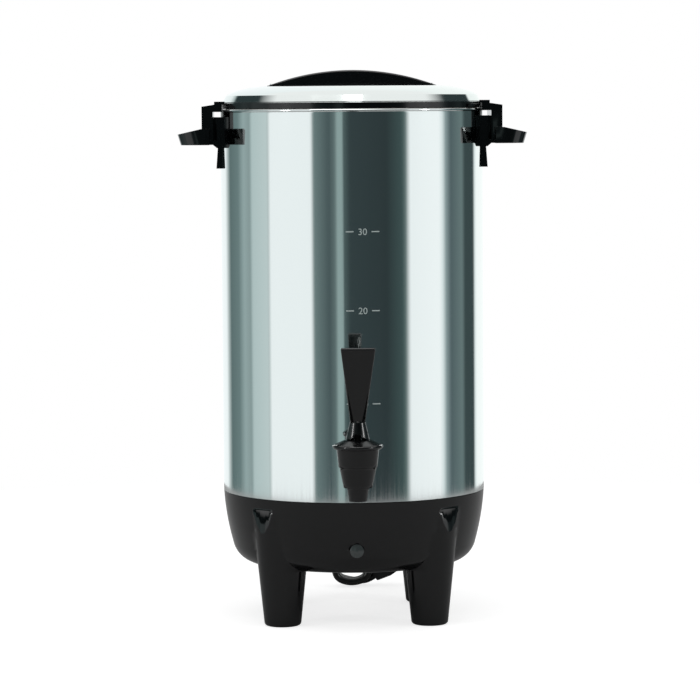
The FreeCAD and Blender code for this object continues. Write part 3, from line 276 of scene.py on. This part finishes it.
def makeCamera(data):
    lens = bpy.data.cameras.new("camera")
    lens.lens = data["lens"]
    lens.sensor_width = 36
    eye = bpy.data.objects.new("camera", lens)
    bpy.context.scene.collection.objects.link(eye)
    away = Vector(data["aim"]) - Vector(data["place"])
    eye.rotation_mode = "QUATERNION"
    turn = away.to_track_quat("-Z", "Y").to_matrix().to_4x4()
    roll = Matrix.Rotation(math.radians(data["roll"]), 4, "Z")
    eye.matrix_world = Matrix.Translation(data["place"]) @ turn @ roll
    bpy.context.scene.camera = eye


makeCamera(camera)

# What the steel mirrors, by the compass angle from the tap: (degrees, sRGB tone)
studio = {
    "turn": -1.16,
    "gain": 1.1,
    "bands": [
        (-180, "#f4f8f9"), (-148, "#eef3f4"), (-140, "#a2adad"), (-135, "#5c6e6e"),
        (-119, "#697c7c"), (-110, "#93a5a5"), (-101, "#879797"), (-98, "#b0c0c0"),
        (-80, "#bbc8c8"), (-79, "#aab6b6"), (-76, "#ecf0f1"), (-36, "#ecf0f1"),
        (-33.4, "#697a7a"), (-20, "#475557"), (-14.5, "#5e6e6e"), (-13, "#8c9f9e"),
        (-8.5, "#8c9f9e"), (-7.5, "#4d5d5d"), (-2, "#333e40"), (30, "#2d3739"),
        (44, "#3d4e4e"), (47.4, "#5b6c6b"), (51.8, "#ecf0f1"), (82, "#f2f5f6"), (86, "#d7e0e1"),
        (90, "#889799"), (96, "#505f62"), (112, "#667777"), (117, "#3a4748"), (133, "#384546"),
        (137, "#dbe3e3"), (142, "#f5f9f8"),
    ],
    # above the bands a dark ring: tone, from and to as the height of a ray of length 1, degrees each way
    "darkRing": ("#303b3c", 0.36, 0.58, 138),
    "ringFade": 7,
    "fill": 0.5,
}


def makeWorld(data):
    # mirrored rays see the bands, a dark ring above them and white overhead; others see plain light
    world = bpy.data.worlds.new("studio")
    bpy.context.scene.world = world
    world.use_nodes = True
    tree = world.node_tree
    tree.nodes.clear()
    white = [1.0, 1.0, 1.0, 1.0]
    where = addNode(tree, "ShaderNodeTexCoord")
    split = addNode(tree, "ShaderNodeSeparateXYZ", {}, {"Vector": (where, "Generated")})
    ahead = addNode(tree, "ShaderNodeMath", {"operation": "MULTIPLY"}, {0: (split, "Y"), 1: -1.0})
    compass = addNode(tree, "ShaderNodeMath", {"operation": "ARCTAN2"}, {0: (split, "X"), 1: (ahead, 0)})
    share = addNode(tree, "ShaderNodeMapRange", {}, {
        "Value": (compass, 0),
        "From Min": math.radians(data["turn"] - 180), "From Max": math.radians(data["turn"] + 180)})
    ramp = addNode(tree, "ShaderNodeValToRGB", {}, {"Fac": (share, "Result")})
    points = ramp.color_ramp.elements
    points.remove(points[-1])
    for number, (degrees, tone) in enumerate(data["bands"]):
        place = (degrees + 180) / 360
        stop = points[0] if number == 0 else points.new(place)
        stop.position = place
        stop.color = [level * data["gain"] for level in hexColour(tone)[:3]] + [1.0]
    tone, low, high, reach = data["darkRing"]
    sideways = addNode(tree, "ShaderNodeMath", {"operation": "ABSOLUTE"}, {0: (compass, 0)})
    around = addNode(tree, "ShaderNodeMapRange", {}, {
        "Value": (sideways, 0),
        "From Min": math.radians(reach), "From Max": math.radians(reach + data["ringFade"]),
        "To Min": 1.0, "To Max": 0.0})
    rise = addNode(tree, "ShaderNodeMapRange", {}, {
        "Value": (split, "Z"), "From Min": low - 0.03, "From Max": low})
    ringed = addNode(tree, "ShaderNodeMath", {"operation": "MULTIPLY"}, {
        0: (around, "Result"), 1: (rise, "Result")})
    dark = addNode(tree, "ShaderNodeMix", {"data_type": "RGBA"}, {
        "Factor": (ringed, 0), 6: (ramp, "Color"), 7: hexColour(tone)})
    top = addNode(tree, "ShaderNodeMapRange", {}, {
        "Value": (split, "Z"), "From Min": high, "From Max": high + 0.1})
    mirrored = addNode(tree, "ShaderNodeMix", {"data_type": "RGBA"}, {
        "Factor": (top, "Result"), 6: (dark, 2), 7: white})
    path = addNode(tree, "ShaderNodeLightPath")
    grey = data["fill"]
    chosen = addNode(tree, "ShaderNodeMix", {"data_type": "RGBA"}, {
        "Factor": (path, "Is Glossy Ray"), 6: (grey, grey, grey, 1.0), 7: (mirrored, 2)})
    seen = addNode(tree, "ShaderNodeMix", {"data_type": "RGBA"}, {
        "Factor": (path, "Is Camera Ray"), 6: (chosen, 2), 7: white})
    light = addNode(tree, "ShaderNodeBackground", {}, {"Color": (seen, 2)})
    addNode(tree, "ShaderNodeOutputWorld", {}, {"Surface": (light, "Background")})


makeWorld(studio)

# Two upright strip lights in front and a soft one overhead:
# (compass in degrees, rise in degrees, distance in metres, size in metres, watts)
lamps = {
    "leftStrip": (-60.0, 16.0, 2.2, (0.25, 0.6), 7.0),
    "rightStrip": (65.0, 16.0, 2.2, (0.25, 0.6), 7.0),
    "overhead": (-20.0, 75.0, 2.0, (1.2, 1.2), 9.0),
}


def makeLamps(data):
    for name, (compass, rise, distance, size, power) in data.items():
        light = bpy.data.lights.new(name, "AREA")
        light.shape = "RECTANGLE"
        light.size, light.size_y = size
        light.energy = power
        lamp = bpy.data.objects.new(name, light)
        bpy.context.scene.collection.objects.link(lamp)
        turn = math.radians(compass)
        lift = math.radians(rise)
        middle = Vector((0, 0, 0.18))
        away = Vector((math.sin(turn) * math.cos(lift), -math.cos(turn) * math.cos(lift), math.sin(lift)))
        facing = (-away).to_track_quat("-Z", "Y").to_matrix().to_4x4()
        lamp.matrix_world = Matrix.Translation(middle + away * distance) @ facing


makeLamps(lamps)


def makeFloor(radius, sides):
    # a white disc: it glows for the camera, so only the contact shadow shows, and is grey in mirrors
    turn = np.linspace(0, 2 * np.pi, sides, endpoint=False)
    rim = np.stack([radius * np.cos(turn), radius * np.sin(turn), 0 * turn], axis=-1)
    mesh = bpy.data.meshes.new("floor")
    mesh.from_pydata(rim.tolist(), [], [list(range(sides))])
    floor = bpy.data.objects.new("floor", mesh)
    bpy.context.scene.collection.objects.link(floor)
    material, tree, shader = newMaterial("white floor", "#b4b4b4", 0.9)
    path = addNode(tree, "ShaderNodeLightPath")
    glow = addNode(tree, "ShaderNodeMath", {"operation": "MULTIPLY"}, {
        0: (path, "Is Camera Ray"), 1: 0.75})
    shader.inputs["Emission Color"].default_value = (1, 1, 1, 1)
    tree.links.new(glow.outputs[0], shader.inputs["Emission Strength"])
    mesh.materials.append(material)


makeFloor(0.8, 96)
print("studio made")

# Tank: a rolled steel tube with a rolled rim, its floor and the well for the pump
tank = {"radius": 90.0, "wall": 0.8, "seam": 87.6, "rim": 349.5, "bead": 0.98, "beadTall": 1.9,
        "well": 24.0, "wellFloor": 73.0, "floorBend": 6.0, "wellBend": 1.0}


def makeTank(d):
    # one closed outline, from the well's underside up the outside, over the rim and down inside
    inner = d["radius"] - d["wall"]
    wellInner = d["well"] - d["wall"]
    floor = d["seam"] + d["wall"]
    bend = d["floorBend"]
    neck = d["rim"] - d["beadTall"]
    profile = [(0.0, d["wellFloor"]), (d["well"] - d["wellBend"], d["wellFloor"]),
               (d["well"], d["wellFloor"] + d["wellBend"]), (d["well"], d["seam"]),
               (d["radius"] - 0.4, d["seam"]), (d["radius"], d["seam"] + 0.4)]
    profile += [(d["radius"], z) for z in np.linspace(d["seam"] + 2, neck - 1.5, 24)]
    profile += [(d["radius"], neck - 0.5)]
    profile += arcPoints((d["radius"] + 0.1, neck), (d["radius"] - 0.2, d["rim"]), d["bead"])
    profile += [(inner + 0.1, d["rim"] - 0.1), (inner, d["rim"] - 0.4)]
    profile += [(inner, z) for z in np.linspace(d["rim"] - 2, floor + 7.2, 12)]
    profile += arcPoints((inner, floor + bend), (inner - bend, floor), bend, False, 8)
    profile += [(wellInner + 2, floor), (wellInner, floor - 1.5),
                (wellInner, d["wellFloor"] + d["wall"]), (0.0, d["wellFloor"] + d["wall"])]
    shell = lathe("tankShell", profile, finish["tankSteel"], 256, 40)
    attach(shell, "urn")
    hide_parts("tank")


makeTank(tank)

# Cup marks etched into the front of the tank: plain numbers between two ticks
marks = {"radius": 90.03, "middle": 5.0, "levels": [("30", 268.4), ("20", 216.0), ("10", 154.0)],
         "digitTall": 4.4, "tickFrom": 6.0, "tickTo": 11.2, "tickTall": 0.75, "deep": 0.05}


def bendRound(points, radius):
    # flat x becomes an arc length round the tank: (r sin(x/r), -r cos(x/r), z)
    angle = points[:, 0] / radius
    return np.stack([radius * np.sin(angle), -radius * np.cos(angle), points[:, 1]], axis=-1)


def digitMesh(label, tall):
    # the label's letters as a flat mesh: its points in millimetres and its faces
    curve = bpy.data.curves.new("digits", "FONT")
    curve.body = label
    curve.size = tall * 1.42
    curve.align_x = "CENTER"
    curve.resolution_u = 4
    holder = bpy.data.objects.new("digits", curve)
    bpy.context.scene.collection.objects.link(holder)
    bpy.context.view_layer.update()
    flat = bpy.data.meshes.new_from_object(holder)
    bpy.data.objects.remove(holder)
    places = np.empty(len(flat.vertices) * 3)
    flat.vertices.foreach_get("co", places)
    return places.reshape(-1, 3)[:, :2], [list(polygon.vertices) for polygon in flat.polygons]


def tickMesh(d, side):
    # a strip of five quads between tickFrom and tickTo, to the left (-1) or right (1) of the digits
    along = np.linspace(d["tickFrom"], d["tickTo"], 6) * side
    low = np.stack([along, np.full(6, -0.5 * d["tickTall"])], axis=-1)
    high = low + [0, d["tickTall"]]
    return np.vstack([low, high]), [[i, i + 1, i + 7, i + 6] for i in range(5)]


def makeMarks(d):
    blocks, faces, start = [], [], 0
    for label, height in d["levels"]:
        digits, digitFaces = digitMesh(label, d["digitTall"])
        flats = [(digits - [0, d["digitTall"] / 2], digitFaces), tickMesh(d, -1), tickMesh(d, 1)]
        for flat, flatFaces in flats:
            blocks.append(flat + [d["middle"], height])
            faces += [[start + i for i in face] for face in flatFaces]
            start += len(flat)
    mesh = bpy.data.meshes.new("cupMarks")
    mesh.from_pydata((bendRound(np.vstack(blocks), d["radius"]) * mm).tolist(), [], faces)
    piece = bpy.data.objects.new("cupMarks", mesh)
    bpy.context.scene.collection.objects.link(piece)
    mesh.materials.append(finish["etched"])
    thick = piece.modifiers.new("etchDepth", "SOLIDIFY")
    thick.thickness = d["deep"] * mm
    thick.offset = 0
    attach(piece, "urn")


makeMarks(marks)
print("tank made")

# Every other piece: its finish and the width of its broken edges in millimetres
plain = {
    "base": ("blackGloss", 0.0), "base_cover": ("plainSteel", 0.0), "centre_stud": ("plainSteel", 0.0),
    "centre_nuts": ("plainSteel", 0.2), "pump_heater": ("castAluminium", 0.2),
    "heater_bracket": ("plainSteel", 0.2), "warming_element": ("castAluminium", 0.0),
    "thermostat": ("dullPlastic", 0.15), "terminal_block": ("ceramic", 0.4),
    "lamp": ("lampGlass", 0.0), "lamp_lens": ("lens", 0.0),
    "faucet_body": ("tapBlack", 0.0), "faucet_bonnet": ("tapBlack", 0.0),
    "faucet_lever": ("tapBlack", 0.0), "shank_washer_outer": ("silicone", 0.0),
    "shank_washer_inner": ("silicone", 0.0), "shank_nut": ("dullPlastic", 0.4),
    "valve_stem": ("dullPlastic", 0.0), "lever_pin": ("plainSteel", 0.0),
    "seat_cup": ("silicone", 0.0), "valve_spring": ("plainSteel", 0.0),
    "handle_screws": ("plainSteel", 0.2), "handle_left": ("blackGloss", 0.5),
    "handle_right": ("blackGloss", 0.5), "lid_ring": ("blackGloss", 0.8),
    "lid_seal": ("silicone", 0.0),
    "lid_handle_screws": ("plainSteel", 0.2), "pump_tube": ("spunAluminium", 0.0),
    "pump_foot": ("spunAluminium", 0.0), "basket": ("spunAluminium", 0.0),
    "basket_cover": ("spunAluminium", 0.0), "cord_relief": ("cordSheath", 0.0),
    "cord_tie": ("cordSheath", 0.3), "plug": ("cordSheath", 0.8), "plug_blades": ("brass", 0.15),
}
for node, (surface, bevel) in plain.items():
    softCopy(node, finish[surface], bevel)

# Lid: a pressed steel shell with a finger recess, and a black grip that bridges it
lid = {"recess": 44.0, "floor": 353.3, "land": 50.5, "top": 365.3, "sheet": 0.7,
       "slope": [(61.0, 365.3), (70.0, 364.3), (78.0, 362.5), (83.0, 360.7), (86.2, 358.8)],
       "skirt": (88.9, 353.8)}
grip = {"half": 57.6, "deep": 16.0, "base": 365.4, "crown": 376.0, "round": 1.4,
        "tip": 0.25, "stations": 81}


def makeLidShell(d):
    # one closed outline: the top face from the middle out, then the same line one sheet lower
    outer = [(0.0, d["floor"]), (d["recess"] - 2, d["floor"])]
    outer += arcPoints((d["recess"] - 1, d["floor"] + 0.1), (d["recess"] + 1, d["floor"] + 2), 2.2, True, 6)
    outer += [(d["land"] - 1.6, d["top"] - 1.4)]
    outer += arcPoints((d["land"] - 1.2, d["top"] - 0.8), (d["land"] + 0.8, d["top"]), 1.8, False, 6)
    outer += d["slope"] + [d["skirt"]]
    inner = [(max(r - d["sheet"], 0.0), z - d["sheet"]) for r, z in outer[:-1]]
    inner += [(d["skirt"][0] - d["sheet"], d["skirt"][1])]
    shell = lathe("lidShell", outer + inner[::-1], finish["lidSteel"], 200, 30)
    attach(shell, frameBody("lid_shell"))
    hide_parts("lid_shell")


def makeGrip(d):
    # top edge z(x) = crown - R + sqrt(R2 - x2), R = (half2 + rise2) / (2 rise); section y(t) rounded
    rise = d["crown"] - d["base"]
    arc = (d["half"] ** 2 + rise ** 2) / (2 * rise)
    across = d["half"] * np.sin(np.linspace(-np.pi / 2, np.pi / 2, d["stations"]))
    crest = np.maximum(d["crown"] - arc + np.sqrt(arc ** 2 - across ** 2), d["base"] + d["tip"])
    edge = np.minimum(d["round"], (crest - d["base"]) * 0.45)[:, None]
    turn = np.linspace(0, np.pi / 2, 5)
    side = d["deep"] - edge + edge * np.sin(turn)
    high = crest[:, None] - edge + edge * np.cos(turn)
    foot = np.full((len(across), 1), d["base"])
    reach = np.full((len(across), 1), d["deep"])
    y = np.hstack([-reach, -side[:, ::-1], side, reach])
    z = np.hstack([foot, high[:, ::-1], high, foot])
    count = y.shape[1]
    points = np.stack([np.repeat(across[:, None], count, axis=1), y, z], axis=-1)
    faces = gridFaces(len(across), count)
    faces += [list(range(count))[::-1], list(range((len(across) - 1) * count, len(across) * count))]
    piece = meshObject("lidGrip", points * mm, faces, finish["blackGloss"], 40)
    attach(piece, frameBody("lid_handle"))
    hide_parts("lid_handle")


makeLidShell(lid)
makeGrip(grip)
print("lid made")

# Mains cord: out of the relief, up to the hank's top, down through its turns, into the plug
cord = {"diameter": 5.4, "exit": (24.0, 103.1, 55.0), "waist": 3.5, "lobe": 29.0, "half": 42.0,
        "pitch": 6.4, "front": 116.5, "side": 0.5, "gap": 0.35, "turns": 3, "steps": 16,
        "lead": [(0, 9, 0), (2, 13, 10), (2, 12, 22), (-5, 11.5, 32)],
        "plugLead": [(6.5, 0.0, 0.0), (12.5, -1.0, 1.0), (17.5, -2.0, 4.6)]}


def cordRoute(d):
    # turn by turn: x = side - sin(a) (waist + lobe cos2(a)), z = middle + half cos(a)
    steps = int(d["turns"] * d["steps"] - d["steps"] / 2)
    share = np.arange(steps + 1) / d["steps"]
    angle = 2 * np.pi * share
    middle = d["half"] + d["diameter"] / 2 + d["gap"]
    turns = np.stack([d["side"] - np.sin(angle) * (d["waist"] + d["lobe"] * np.cos(angle) ** 2),
                      d["front"] + d["pitch"] * share,
                      middle + d["half"] * np.cos(angle)], axis=-1)
    start = np.array(d["exit"])
    ahead = turns[1] - turns[0]
    before = turns[0] - ahead / np.linalg.norm(ahead) * 9
    lead = [start] + [start + np.array(step) for step in d["lead"]] + [before]
    end = [turns[-1] + np.array(step) for step in d["plugLead"]]
    return np.vstack([lead, turns, end])


def makeCord(d):
    route = cordRoute(d) * mm
    curve = bpy.data.curves.new("mainsCord", "CURVE")
    curve.dimensions = "3D"
    spline = curve.splines.new("NURBS")
    spline.points.add(len(route) - 1)
    spline.points.foreach_set("co", np.hstack([route, np.ones((len(route), 1))]).ravel())
    spline.order_u = 3
    spline.use_endpoint_u = True
    curve.bevel_depth = d["diameter"] / 2 * mm
    curve.bevel_resolution = 5
    curve.resolution_u = 6
    curve.use_fill_caps = True
    curve.materials.append(finish["cordSheath"])
    piece = bpy.data.objects.new("mainsCord", curve)
    bpy.context.scene.collection.objects.link(piece)
    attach(piece, "urn")
    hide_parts("cord_run", "cord_hank")


makeCord(cord)
print("cord made")

bpy.context.scene.view_settings.view_transform = "Standard"
